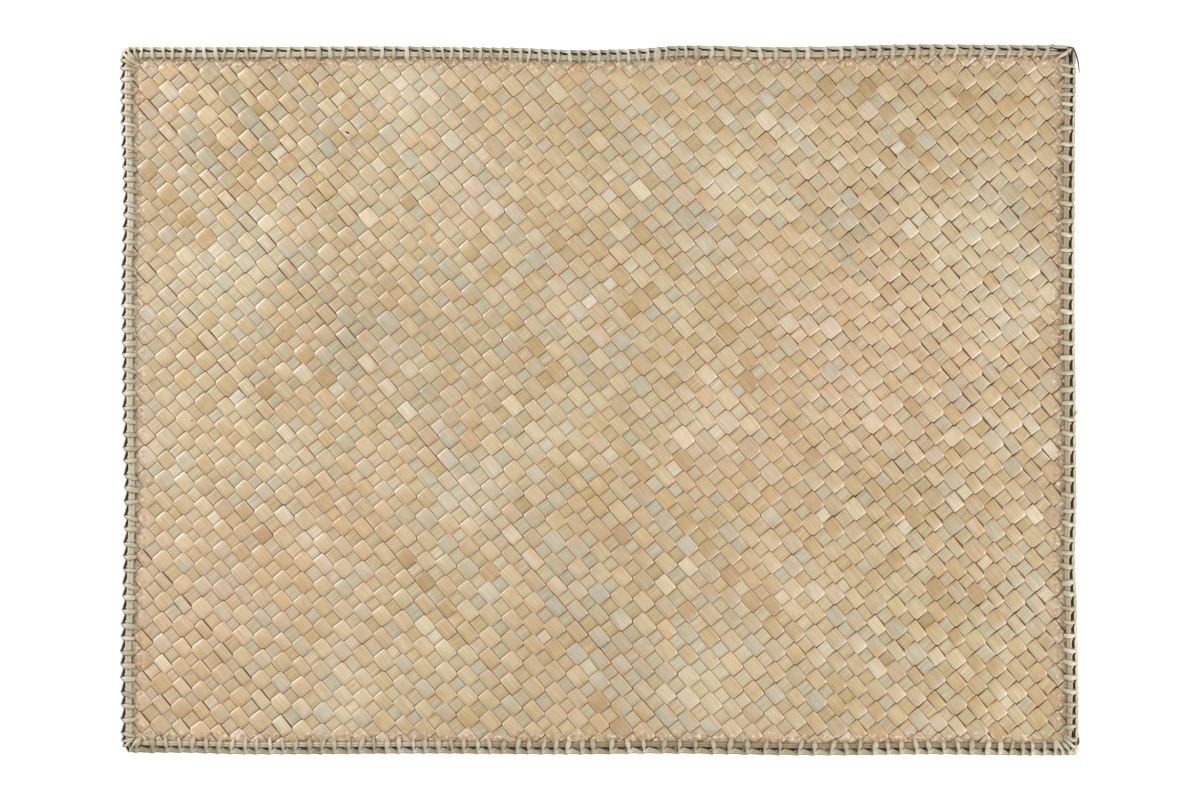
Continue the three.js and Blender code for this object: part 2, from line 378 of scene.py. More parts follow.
def leaf_strip_tree():
    numbers = [f"{whose} {key}" for whose in ("Own", "Crossed") for key in FALLING] + [
        "Parity", "Neighbour", "Width", "Width spread", "Crossed width", "Crossed spread", "Alternate",
        "Turning in", "Turning out", "Height", "Crown", "Arch", "Tilt", "Thickness", "Shoulder", "Trim",
    ]
    net, given = new_tree("leaf_strips", numbers, Strips="Int", Crossings="Int", Material="Material")

    def chance(number, seed):
        values = {"W": number * 1.37 + seed}
        return net.node("ShaderNodeTexWhiteNoise", values, noise_dimensions="1D")

    def strayed(number, crossing, prefix):
        swing = 1 - 2 * (number % 2)
        seed = given[f"{prefix} seed"]
        loose = net.noise(number * 5.31, crossing * 0.045, seed, 1.0)
        uneven = net.noise(number * 0.05, crossing * 0.05, seed + 9.0, 0.0)
        swing = swing * uneven.ramp(0.4, 0.62) * given[f"{prefix} swing"]
        return (loose - 0.5) * given[f"{prefix} stray"] + swing

    def by_step(values):
        return net.node("GeometryNodeIndexSwitch", {"Index": step}, choices=values, data_type="FLOAT")

    length = given["Crossings"] * (len(STATION_AT) // 2)
    row = net.node("GeometryNodeMeshLine", {"Count": length, "Offset": (0, 0, 0)})
    rows = net.node("GeometryNodeMeshLine", {"Count": given["Strips"], "Offset": (0, 0, 0)})
    lines = net.node("GeometryNodeInstanceOnPoints", {"Points": rows, "Instance": row})
    lines = net.node("GeometryNodeRealizeInstances", {0: lines})

    index = net.node("GeometryNodeInputIndex") + 0.5
    line = (index / length).floor()
    station = (index - line * length).floor()
    strip = line - (given["Strips"] / 2).floor()
    turn = (station / len(STATION_AT) + 0.01).floor()
    step = station - turn * len(STATION_AT)
    on_top = 2 * turn + (strip + given["Parity"]) % 2 - (given["Crossings"] / 4).floor() * 2
    crossing = on_top + 1 - 2 * step.math("LESS_THAN", step, 1.5)
    other = (chance(crossing, given["Crossed seed"] + 31.7) - 0.5) * given["Crossed spread"]
    within = by_step(STATION_AT) + by_step(STATION_SHIFT) * (given["Crossed width"] + other) / 2
    nominal = on_top + within

    whole = nominal.floor()
    here, there = strayed(whole, strip, "Crossed"), strayed(whole + 1, strip, "Crossed")
    along = nominal + here + (there - here) * (nominal - whole)
    own = strayed(strip, nominal, "Own")
    beside = strayed(strip + 1, nominal, "Own") - own + 1
    behind = own - strayed(strip - 1, nominal, "Own") + 1

    spread = net.math("SINE", given["Own angle"] - given["Crossed angle"])
    right = (strip + own) * given["Own pitch"] / abs(spread)
    forth = along * given["Crossed pitch"] / abs(spread)
    x = right * net.math("COSINE", given["Crossed angle"]) + forth * net.math("COSINE", given["Own angle"])
    y = right * net.math("SINE", given["Crossed angle"]) + forth * net.math("SINE", given["Own angle"])
    bulge = net.math("TANH", x / WARP_SPAN) * WARP_SPAN * (1 - y * WARP_FALL)
    values = {"Vector": net.vector(x, y, 0.3), "Scale": 22.0, "Detail": 1.0}
    waver_x, waver_y, _ = net.node("ShaderNodeTexNoise", values, out="Color").parts()
    warped_x = x + bulge * WARP_X + (waver_x - 0.5) * WAVER
    warped_y = y + bulge * WARP_Y + x * y * WARP_SHEAR + (waver_y - 0.5) * WAVER
    lines = net.moved(lines, warped_x, warped_y, 0.0)

    def outside_of(position_x, position_y):
        """Whether a point lies outside the trimmed line, the nearest point of that line, and how far."""
        flat = net.vector(position_x, position_y, 0.0)
        above = net.vector(position_x, position_y, 0.1)
        ray = {"Target Geometry": given["Geometry"], "Source Position": above, "Ray Direction": (0, 0, -1)}
        hit = net.node("GeometryNodeRaycast", ray)
        values = {"Geometry": given["Geometry"], "Sample Position": flat}
        near = net.node("GeometryNodeProximity", values, target_element="EDGES")
        return 1 - hit, near, near.other("Distance")

    width = given["Width"] + (chance(strip, given["Own seed"] + 31.7) - 0.5) * given["Width spread"]
    width = width + (1 - 2 * (strip % 2)) * abs(x).ramp(0.05, 0.16) * given["Alternate"]
    narrow_in = width.least(given["Turning in"])
    narrow_out = given["Turning out"]
    share = by_step([narrow_in, width, width, width, narrow_in, narrow_out, width, narrow_out])
    # The pulled weave: how much wider apart its strips lie here, so that no strip leaves a gap.
    pull = net.math("TANH", x / WARP_SPAN)
    pull = (1 - pull * pull) * (1 - y * WARP_FALL)
    wider = 1 + pull * WARP_X
    taller = 1 + x * WARP_SHEAR
    run_x = wider * net.math("COSINE", given["Own angle"])
    run_y = (pull * WARP_Y + y * WARP_SHEAR) * net.math("COSINE", given["Own angle"])
    run_y = run_y + taller * net.math("SINE", given["Own angle"])
    swell = wider * taller / (run_x * run_x + run_y * run_y) ** 0.5
    half = share * given["Own pitch"] * swell / 2
    forward = given["Neighbour"]
    to_plus = half * (beside * (1 + forward) / 2 + behind * (1 - forward) / 2)
    to_minus = half * (behind * (1 + forward) / 2 + beside * (1 - forward) / 2)
    cell = turn * 7.13 + strip * 3.71
    tilt = (chance(cell, given["Own seed"] + 5.2) - 0.5) * 2 * given["Tilt"]
    lean = (chance(cell, given["Own seed"] + 9.4) - 0.5) * 2 * given["Tilt"]
    told = {
        "strip": strip + given["Own seed"],
        "up": by_step(STATION_UP),
        "near_end": by_step(STATION_NEAR_END),
        "along": along * given["Crossed pitch"],
        "to_plus": to_plus,
        "to_minus": to_minus,
        "tilt": tilt,
        "lean": lean * within,
        "cell": cell,
    }
    for name, value in told.items():
        lines = net.keep(lines, name, value)
    at_x, at_y, _ = net.node("GeometryNodeInputPosition").parts()
    outside, _, far = outside_of(at_x, at_y)
    gone = net.node("FunctionNodeCompare", {"A": outside * far, "B": given["Trim"]}, operation="GREATER_THAN")
    lines = net.node("GeometryNodeDeleteGeometry", {"Geometry": lines, "Selection": gone}, domain="POINT")
    lines = net.node("GeometryNodeMeshToCurve", {"Mesh": lines})

    shoulder = given["Shoulder"]
    body = swept(net, lines, (1, shoulder, 0.42, -0.42, -shoulder, -1, 0), RING_UP)

    across = net.kept("across")
    middle_x, middle_y, _ = net.kept("middle", "FLOAT_VECTOR").parts()
    heading_x, heading_y, _ = net.kept("heading", "FLOAT_VECTOR").parts()
    plus = across.math("GREATER_THAN", across, 0)
    reach = across * (net.kept("to_plus") * plus + net.kept("to_minus") * (1 - plus))
    wide_x = middle_x - heading_y * reach
    wide_y = middle_y + heading_x * reach
    outside, near, far = outside_of(wide_x, wide_y)
    near_x, near_y, _ = near.parts()
    end_x = wide_x + (near_x - wide_x) * outside
    end_y = wide_y + (near_y - wide_y) * outside
    inset = far * (1 - outside)
    level = inset.ramp(LIFT_FROM, LIFT_TO, MIDDLE_AT_EDGE, MIDDLE)
    near_end = net.kept("near_end") * net.kept("near_end")
    dome = (1 - across * across) * (1 - near_end * 0.45)
    lift = given["Height"] + given["Crown"] * dome + given["Arch"] * (1 - near_end)
    height = level + net.kept("up") * lift + net.kept("rise") * given["Thickness"] / 2
    height = height + net.kept("tilt") * across + net.kept("lean")
    body = net.keep(body, "inset", inset / MM)
    body = net.moved(body, end_x, end_y, height)
    body = net.keep(body, "UVMap", net.vector(net.kept("along"), reach, 0.0), "FLOAT2", "CORNER")
    body = net.drop(body, "along", "to_plus", "to_minus", "tilt", "lean", "middle", "heading", "rise")
    return close_tree(net, body, given["Material"])


def flat_mesh(name, points, edges=(), faces=()):
    """A mesh at height 0 through points in millimetres."""
    mesh = bpy.data.meshes.new(name)
    mesh.from_pydata([(p.x * MM, p.y * MM, 0) for p in points], edges, faces)
    return mesh


# Small holes and specks in the leaf, painted dark: the dark is painted shade in the holes and under the curl
# of leaf that has lifted. Where they are and how large, in metres.
SHADED_HOLES = (
    (0.1502, 0.1324, 0.0008), (-0.192, -0.0096, 0.0004),
    (-0.1187, 0.1259, 0.0008), (-0.1196, 0.1261, 0.0006),
)


def leaf_material(name, tones, seam_and_shade, rim_tone, grain, glint, end_highlight):
    """Dried leaf: a tone for each strip that drifts along it, fibres along its length, brown edges that are
    partly painted shade, painted shade in the seams, near the reed and at the panel's edge, and painted
    highlights on edges and cell ends.
    """
    material, net = new_material(name)
    noise, tinted, seen = net.noise, net.tinted, net.seen
    along, over, _ = net.node("ShaderNodeUVMap", uv_map="UVMap").parts()
    strip, up, across, inset, near_end = map(seen, ("strip", "up", "across", "inset", "near_end"))
    luck = net.node("ShaderNodeTexWhiteNoise", {"W": strip * 3.19}, noise_dimensions="1D")
    hue, weight, _ = luck.other("Color").parts()
    own_luck = net.node("ShaderNodeTexWhiteNoise", {"W": seen("cell")}, noise_dimensions="1D")
    own_hue, own_weight, own_light = own_luck.other("Color").parts()
    drift = noise(along * 14, strip * 5.3, 0.0)
    change = noise(along * 45, strip * 2.9, 4.0)
    mix = 0.22 + luck * 0.56 + (drift - 0.5) * 1.3 + (change - 0.5) * 0.7 + (own_luck - 0.5) * 0.16
    colour = net.node("ShaderNodeValToRGB", {"Fac": mix}, stops=tones)
    warm = (noise(along * 60, over * 120, strip * 8.1) + (hue - 0.5) * 0.2).ramp(0.48, 0.72) * 0.4
    warm = warm + own_hue.ramp(0.55, 1.0) * abs(near_end).ramp(0.3, 1.0) * 0.45
    # Orange-brown tint along the long edges: partly the leaf's own brown edges, partly painted shade beside
    # the gaps.
    warm = warm + abs(across).ramp(0.5, 0.95) * weight.ramp(0.2, 1.0) * 0.35
    colour = tinted(colour, srgb(192, 150, 104), warm.least(0.8))
    # A few cells paler: partly pale leaf, partly painted highlight.
    colour = tinted(colour, srgb(222, 212, 188), own_weight.ramp(0.93, 0.99) * 0.4)
    x, y, _ = net.node("ShaderNodeTexCoord", out="Object").parts()
    region = noise(x * 8, y * 8, 2.7)
    other_region = noise(x * 14, y * 14, 8.1)
    colour = tinted(colour, srgb(184, 148, 112), region.ramp(0.47, 0.68) * 0.35)
    colour = tinted(colour, srgb(196, 186, 156), other_region.ramp(0.52, 0.7) * 0.3)
    fibre = noise(along * 70, over * 1900, strip * 11.7, 3.0, 0.65)
    fine = noise(along * 200, over * 6000, strip * 4.1, 2.0, 0.6)
    cloud = noise(along * 220, over * 300, strip * 3.3, 3.0, 0.6)
    value = 1 + ((fibre - 0.5) * 0.42 + (fine - 0.5) * 0.24) * grain + (cloud - 0.5) * 0.18
    value = value + (change - 0.5) * 0.12 + (weight - 0.5) * 0.08 + (own_hue - 0.5) * 0.08
    value = value + (region + other_region - 1) * 0.26
    rim = 1 - inset.ramp(3.5, 13)
    # Painted shade: darker near the reed, where the reed and stitches shade the panel, and darker towards the
    # right side of the mat. On the left side the same term is a painted lightening near the reed that takes
    # back part of the real shade there.
    value = value - rim * (0.08 - (0 - x).ramp(0.19, 0.22) * 0.12) - x.ramp(0.04, 0.2) * 0.055
    colour = tinted(colour, net.vector(value, value**1.25, value**1.9), 1.0, "MULTIPLY")
    colour = tinted(colour, rim_tone, rim * 0.4)
    sewn_through = 1 - inset.ramp(5.5, 10.5)
    crumple = noise(x * 520, y * 520, 6.0, 3.0, 0.65)
    colour = tinted(colour, srgb(132, 96, 66), crumple.ramp(0.54, 0.64) * sewn_through * 0.75)
    colour = tinted(colour, srgb(236, 222, 198), (1 - crumple.ramp(0.35, 0.45)) * sewn_through * 0.7)
    fleck = noise(along * 800, over * 800, strip * 7.7, 2.0, 0.6)
    dark_fleck = fleck.ramp(0.66, 0.72) * (0.25 + rim * 0.6)
    pale_fleck = (1 - fleck.ramp(0.27, 0.34)) * rim
    colour = tinted(colour, srgb(140, 104, 72), dark_fleck * 0.6)
    colour = tinted(colour, srgb(232, 222, 200), pale_fleck * 0.7)
    # Painted highlight: a pale line just inside the long edges, where they curl up towards the lamps.
    painted_edge_highlight = abs(across).ramp(0.7, 0.86) * glint
    colour = tinted(colour, srgb(236, 222, 194), painted_edge_highlight)
    # Painted highlight on the cell ends that face the lamps: a thin bright line on some and a soft glow on
    # others, towards the left lamp on the left half and the right lamp on the right half.
    facing = near_end * (x.ramp(-0.05, 0.05) * 2 - 1)
    lit = facing.ramp(0.88, 0.97) * own_light.ramp(0.45, 1.0) * end_highlight
    lit = lit + facing.ramp(0.1, 0.95) * own_light.ramp(0.2, 1.0) * 0.13
    colour = tinted(colour, srgb(240, 232, 216), lit.least(0.8))
    # The dark seams: brown along the strips' own edges, partly the leaf's edges and partly painted shade in
    # the gaps, with painted shade where a strip dives under the one it crosses, darkest in the corners where
    # the two meet.
    edge = abs(across).ramp(0.91, 0.98)
    dive_shade = 1 - up.ramp(0.0, 0.75)
    uneven = 0.62 + noise(x * 140, y * 140, 5.0) * 0.7
    colour = tinted(colour, seam_and_shade, ((edge * 0.8 + dive_shade * 0.9) * uneven).least(0.95))
    colour = tinted(colour, srgb(44, 28, 18), edge * dive_shade * uneven)
    # Painted shadow: patchy dark brown on the panel where it runs under the reed.
    shade_under_reed = inset.ramp(2.3, 2.7) * (1 - inset.ramp(3.3, 4.1))
    shade_under_reed = shade_under_reed * noise(x * 300, y * 300, 3.0).ramp(0.5, 0.62)
    colour = tinted(colour, srgb(84, 58, 36), shade_under_reed * 0.55)
    # Painted shade in the small holes and under the lifted curl.
    for spot_x, spot_y, size in SHADED_HOLES:
        gap = ((x - spot_x) ** 2 + (y - spot_y) ** 2) ** 0.5 + (fleck - 0.5) * 0.0006
        colour = tinted(colour, srgb(34, 22, 12), (1 - gap.ramp(size * 0.7, size * 1.2)) * 0.95)
    # Painted shadow: the panel's outer edge dark brown in patches, where it lies in the shade of the sewing.
    panel_edge_shade = noise(x * 160, y * 160, 9.0).ramp(0.4, 0.5)
    colour = tinted(colour, srgb(40, 27, 18), (1 - inset.ramp(0.7, 1.9)) * (0.2 + panel_edge_shade * 0.76))
    rough = 0.36 + (cloud - 0.5) * 0.3 + (fibre - 0.5) * 0.2 + edge * 0.1
    relief = fibre * 0.6 + fine * 0.25 + cloud * 0.5 + (crumple - 0.5) * sewn_through * 1.5
    return finished(material, net, colour, rough, relief, 0.14 * MM)


leaf_tree = leaf_strip_tree()


def lay_strips(name, own, crossed, leaf, **values):
    """Lays one set of strips across the other, trimmed to the panel's line."""
    for key in own:
        values[f"Own {key}"], values[f"Crossed {key}"] = own[key], crossed[key]
    ring = outline(PANEL_INSET)[::-1]
    line = flat_mesh(f"{name}_line", ring, faces=[list(range(len(ring)))])
    strips = grow(name, line, leaf_tree, Thickness=LEAF_THICK, Trim=PAST_LINE, Material=leaf, **values)
    return fitted(strips, "panel_leaf", "plaited_panel")


falling_leaf = leaf_material(
    "falling_leaf",
    [
        (0.0, srgb(166, 137, 97)), (0.2, srgb(179, 153, 110)), (0.4, srgb(188, 171, 137)),
        (0.6, srgb(179, 157, 123)), (0.8, srgb(166, 161, 141)), (1.0, srgb(192, 178, 154)),
    ],
    seam_and_shade=srgb(100, 60, 31), rim_tone=srgb(192, 162, 134), grain=1.55, glint=0.12, end_highlight=0.4,
)
rising_leaf = leaf_material(
    "rising_leaf",
    [
        (0.0, srgb(163, 139, 94)), (0.2, srgb(174, 153, 109)), (0.45, srgb(178, 164, 132)),
        (0.65, srgb(166, 160, 137)), (0.85, srgb(176, 155, 110)), (1.0, srgb(190, 180, 156)),
    ],
    seam_and_shade=srgb(102, 66, 36), rim_tone=srgb(188, 166, 136), grain=2.0, glint=0.06, end_highlight=0.6,
)
falling_strips = lay_strips(
    "falling_strips", FALLING, RISING, falling_leaf,
    **{
        "Strips": 93, "Crossings": 84, "Parity": 0.0, "Neighbour": 1.0, "Width": 1.14, "Width spread": 0.24,
        "Crossed width": 0.83, "Crossed spread": 0.26, "Alternate": 0.15, "Turning in": 0.98,
        "Turning out": 1.02, "Height": 0.3 * MM, "Crown": 0.28 * MM, "Arch": 0.08 * MM, "Tilt": 0.1 * MM,
        "Shoulder": 0.9,
    },
)
rising_strips = lay_strips(
    "rising_strips", RISING, FALLING, rising_leaf,
    **{
        "Strips": 81, "Crossings": 96, "Parity": 1.0, "Neighbour": -1.0, "Width": 0.83, "Width spread": 0.26,
        "Crossed width": 1.04, "Crossed spread": 0.0, "Alternate": 0.0, "Turning in": 0.98,
        "Turning out": 1.12, "Height": 0.08 * MM, "Crown": 0.06 * MM, "Arch": 0.05 * MM, "Tilt": 0.06 * MM,
        "Shoulder": 0.94,
    },
)

# The rim reeds. A split reed lies along each side on top of the panel's edge, pared thin at its ends. It
# has one or two grooves along its length, and dried to grey green, pinkish beige or brown by place.
REED_RING_ACROSS = (1, 0.97, 0.66, 0.12, -0.12, -0.66, -0.97, -1, -0.7, 0.7)
REED_RING_UP = (0.1, 0.62, 0.98, 0.93, 0.93, 0.98, 0.62, 0.1, 0, 0)
REED_INSET = {"top": 4.05, "right": 3.95, "bottom": 4.9, "left": 3.8}
REED_WIDTH = {"top": 2.4, "right": 2.4, "bottom": 2.3, "left": 3.0}
REED_START = 4
REED_END = 6.2


def reed_tree():
    numbers = ("Width", "Height", "Low", "Taper", "Tip", "Groove", "Seed")
    net, given = new_tree("rim_reed", numbers, Pieces="Int", Material="Material")
    line = net.node("GeometryNodeMeshToCurve", {"Mesh": given["Geometry"]})
    line = net.node("GeometryNodeResampleCurve", {"Curve": line, "Count": given["Pieces"]})
    spot = net.node("GeometryNodeSplineParameter", out="Length")
    whole = net.node("GeometryNodeSplineLength", out="Length")
    line = net.keep(line, "along", spot)
    line = net.keep(line, "end", spot.least(whole - spot))
    body = swept(net, line, REED_RING_ACROSS, REED_RING_UP)

    def uneven(scale, shift):
        return net.noise(net.kept("along") * scale, given["Seed"], shift) - 0.5

    x, y, _ = net.kept("middle", "FLOAT_VECTOR").parts()
    heading_x, heading_y, _ = net.kept("heading", "FLOAT_VECTOR").parts()
    across, rise = net.kept("across"), net.kept("rise")
    pared = (net.kept("end") / given["Taper"]).least(1)
    half = given["Width"] / 2 * (given["Tip"] + (1 - given["Tip"]) * pared) * (1 + uneven(60, 1.0) * 0.3)
    reach = across * half + uneven(35, 5.0) * 0.7 * MM
    top = given["Height"] * (0.7 + 0.3 * pared) * (1 + uneven(90, 9.0) * 0.16)
    groove = (1 - abs(across) * 3).most(0) * rise.math("GREATER_THAN", rise, 0.5)
    height = given["Low"] + rise * top - groove * given["Groove"]
    body = net.moved(body, x - heading_y * reach, y + heading_x * reach, height)
    body = net.keep(body, "UVMap", net.vector(net.kept("along"), reach, 0.0), "FLOAT2", "CORNER")
    body = net.drop(body, "along", "end", "middle", "heading", "rise")
    return close_tree(net, body, given["Material"])


def reed_material(name, first, second, line, line_at, axis):
    """Split reed: one tone that changes into another along the mat, long fibres, dark grooves and painted
    shade along its sides.
    """
    material, net = new_material(name)
    noise, tinted = net.noise, net.tinted
    along, over, _ = net.node("ShaderNodeUVMap", uv_map="UVMap").parts()
    across = net.seen("across")
    place = net.node("ShaderNodeTexCoord", out="Object").parts()[axis]
    slow = noise(along * 25, 2.0, 0.0)
    part = (place + (slow - 0.5) * 0.25).ramp(line_at - 0.03, line_at + 0.03)
    colour = tinted(first, second, part)
    fibre = noise(along * 60, over * 4200, 1.0, 3.0)
    cloud = noise(along * 160, over * 500, 7.0)
    value = 1 + (fibre - 0.5) * 0.34 + (cloud - 0.5) * 0.2 + (slow - 0.5) * 0.16
    colour = tinted(colour, net.vector(value, value, value), 1.0, "MULTIPLY")
    wander = (noise(along * 40, 3.0, 2.0) - 0.5) * 0.5
    groove = 1 - abs(across - wander).ramp(0.02, 0.17)
    # Painted shade: darker along the reed's rounded sides.
    side = abs(across).ramp(0.78, 1.0)
    colour = tinted(colour, srgb(118, 94, 66), (groove * line + side * 0.6).least(0.9))
    relief = fibre * 0.7 + cloud * 0.3 - groove * 0.8
    return finished(material, net, colour, 0.48 + (cloud - 0.5) * 0.3, relief, 0.15 * MM)


def side_line(side, inset, first, last, steps=70):
    """The mesh of one line beside a side."""
    points = [side_point(side, mixed(first, last, step / steps), inset) for step in range(steps + 1)]
    return flat_mesh(f"line_{side.name}", points, [(step, step + 1) for step in range(steps)])


GREY_GREEN = srgb(184, 178, 150)
PINK_BEIGE = srgb(188, 168, 138)
OLIVE = srgb(146, 128, 94)
REED_FINISH = {
    "top": (GREY_GREEN, PINK_BEIGE, 0.25, 0.06, 0),
    "right": (srgb(164, 148, 120), srgb(158, 140, 110), 0.7, -0.02, 1),
    "bottom": (GREY_GREEN, OLIVE, 0.6, -0.06, 0),
    "left": (srgb(178, 172, 146), srgb(184, 178, 154), 0.2, 0.0, 1),
}
reed_net = reed_tree()
for number, side in enumerate(SIDES):
    first, last = REED_START - side.before.distance, side.after.distance - REED_END
    reed = grow(
        f"reed_{side.name}",
        side_line(side, REED_INSET[side.name], first, last),
        reed_net,
        **{
            "Width": REED_WIDTH[side.name] * MM, "Height": 1.6 * MM, "Low": 2.2 * MM, "Taper": 7 * MM,
            "Tip": 0.4, "Groove": 0.12 * MM, "Seed": 4.7 + 3.1 * number, "Pieces": 190,
            "Material": reed_material(f"split_reed_{side.name}", *REED_FINISH[side.name]),
        },
    )
    fitted(reed, "rim_reed", f"rim_reed_{side.name}")

# The edge sewing. One narrow strip of pale leaf is worked all round as a blanket stitch. It comes up round
# the edge, runs along it as a blade, folds, crosses the reed and goes down through the panel.
class Station:
    """A place on the master stitch: where its middle is, and the half width from there to its left edge.
    run is the share of the way back to the stitch before. The rest is along the edge, inwards and up."""

    def __init__(self, run, middle, half):
        self.run = run
        self.middle = Vector(middle)
        self.half = Vector(half)


UNDER_STRETCH = [
    Station(1.0, middle, half) for middle, half in (
        ((0, 7.2, 1.1), (-0.9, 0, 0)), ((0, 7.0, 0.34), (-1.1, 0, 0)), ((0, 5.0, 0.3), (-1.3, 0, 0)),
        ((0, 2.6, 0.34), (-1.3, 0, 0)), ((0, 1.2, 0.45), (-1.15, 0, 0.1)),
        ((0.1, 0.4, 0.8), (-0.8, 0.1, 0.5)),
    )
]
# The blade along the edge, from the stitch before to this one: the share of the way back, then the inset
# and height of its outer edge and of its inner one. Each side of the mat was pulled differently.
BLADES = {
    "top": [
        (0.97, -0.1, 0.9, 1.6, 2.2), (0.8, 0.0, 0.9, 2.0, 2.1), (0.6, 0.1, 1.0, 2.5, 2.1),
        (0.4, 0.15, 1.1, 2.8, 2.2), (0.22, 0.3, 1.3, 2.9, 2.4),
    ],
    "right": [
        (0.97, -0.5, 1.0, 1.3, 2.1), (0.8, -0.4, 1.1, 1.9, 2.0), (0.6, -0.3, 1.2, 2.5, 2.0),
        (0.4, -0.4, 1.2, 2.8, 2.1), (0.22, -0.3, 1.3, 2.9, 2.3),
    ],
    "bottom": [
        (0.97, 0.1, 1.0, 1.8, 2.2), (0.8, 0.1, 1.1, 2.3, 2.1), (0.6, 0.2, 1.2, 2.9, 2.0),
        (0.4, 0.3, 1.3, 3.5, 2.1), (0.22, 0.4, 1.4, 3.8, 2.3),
    ],
    "left": [
        (0.97, -0.3, 1.4, 1.2, 2.1), (0.8, -0.2, 1.4, 1.6, 2.0), (0.6, 0.1, 1.4, 2.1, 1.9),
        (0.4, 0.5, 1.5, 2.4, 1.9), (0.22, 0.9, 1.6, 2.7, 2.1),
    ],
}
# How much of a blade is painted dark brown as shade: from where on its width, and how far that moves along
# the blade.
BLADE_SHADE = {"top": (-0.02, 0.5), "right": (-0.3, 0.5), "bottom": (0.7, 0.0), "left": (-0.46, 0.0)}
LEG = [
    Station(0.0, middle, half) for middle, half in (
        ((0, 1.45, 2.75), (-0.75, 0.9, 0.1)), ((0, 2.5, 3.3), (-0.85, 0.1, 0)), ((0, 3.0, 3.8), (-1.0, 0, 0)),
        ((0, 3.7, 4.15), (-1.3, 0, 0)), ((0, 4.5, 4.26), (-1.42, 0, 0)), ((0, 5.3, 4.18), (-1.35, 0, 0)),
        ((0, 6.0, 3.75), (-1.15, 0, 0)), ((0, 6.5, 3.05), (-1.12, 0, 0)), ((0, 6.9, 2.45), (-1.0, 0, 0)),
        ((0, 7.2, 1.9), (-0.85, 0, 0)), ((0, 7.25, 1.3), (-0.7, 0, 0)),
    )
]
LEG_REED_INSET = 4.5  # where the reed that this leg crosses lies
RIBBON_RING = ((-1, 0), (-0.82, 1), (0, 1.35), (0.82, 1), (1, 0), (0.8, -1), (-0.8, -1))
RIBBON_HALF_THICK = 0.18
NOMINAL_PITCH = 6.1


def eased(values, t):
    """A smooth curve through four values, between the second and the third."""
    a, b, c, d = values
    return 0.5 * (2 * b + (c - a) * t + (2 * a - 5 * b + 4 * c - d) * t * t + (3 * b - a - 3 * c + d) * t**3)


def refined(rows, parts):
    """Rows with parts - 1 more between each two, on a smooth curve."""
    found = []
    for i in range(len(rows) - 1):
        near = [rows[max(i - 1, 0)], rows[i], rows[i + 1], rows[min(i + 2, len(rows) - 1)]]
        for part in range(parts):
            found.append(eased(near, part / parts))
    return found + [rows[-1]]


def note(mesh, name, values):
    """Keeps a value for each point of a mesh under a name."""
    mesh.attributes.new(name, "FLOAT", "POINT").data.foreach_set("value", values)


def ribbon_mesh(name, middles, halves, thick, turned=False):
    """A closed flat strip through middles, as wide as twice halves, with its own UV map. Its faces look
    outwards if turned. If not, they do once it is laid along the edge, which mirrors it."""
    mesh = bpy.data.meshes.new(name)
    points, spots = [], []
    length = 0.0
    size = len(RIBBON_RING)
    for i, (middle, half) in enumerate(zip(middles, halves)):
        ahead = middles[min(i + 1, len(middles) - 1)] - middles[max(i - 1, 0)]
        normal = ahead.cross(half).normalized() * thick
        if i:
            length += (middle - middles[i - 1]).length
        for across, up in RIBBON_RING:
            points.append((middle + half * across + normal * up) * MM)
            spots.append((length * MM, half.length * across * MM))
    faces = []
    for start in range(0, (len(middles) - 1) * size, size):
        for j in range(size):
            a, b = start + j, start + (j + 1) % size
            faces.append((a, b, b + size, a + size))
    faces.append(list(reversed(range(size))))
    faces.append(list(range(len(points) - size, len(points))))
    if turned:
        faces = [list(reversed(face)) for face in faces]
    mesh.from_pydata(points, [], faces)
    layer = mesh.uv_layers.new(name="UVMap")
    for loop in mesh.loops:
        layer.data[loop.index].uv = spots[loop.vertex_index]
    note(mesh, "across", [across for across, _ in RIBBON_RING] * len(middles))
    return mesh


def master_stitch(name, blade, reed_inset):
    """One stitch, from the hole of the stitch before to its own. Its run back is kept as a share."""
    rows = list(UNDER_STRETCH)
    for run, outer, low, inner, high in blade:
        half = Vector((-0.25 if run > 0.9 else 0, (inner - outer) / 2, (high - low) / 2))
        rows.append(Station(run, (0, (inner + outer) / 2, (high + low) / 2), half))
    for row in LEG:
        moved = (reed_inset - LEG_REED_INSET) * smooth((row.middle.y - 1.2) / 1.8)
        rows.append(Station(row.run, row.middle + Vector((0, moved, 0)), row.half))
    middles = refined([row.middle for row in rows], 2)
    halves = refined([row.half for row in rows], 2)
    runs = refined([row.run for row in rows], 2)
    placed = [middle - Vector((run * NOMINAL_PITCH, 0, 0)) for middle, run in zip(middles, runs)]
    mesh = ribbon_mesh(name, placed, halves, RIBBON_HALF_THICK)
    each = [run for run in runs for _ in RIBBON_RING]
    for vertex, run in zip(mesh.vertices, each):
        vertex.co.x += run * NOMINAL_PITCH * MM
    note(mesh, "run", each)
    return put(name, mesh)


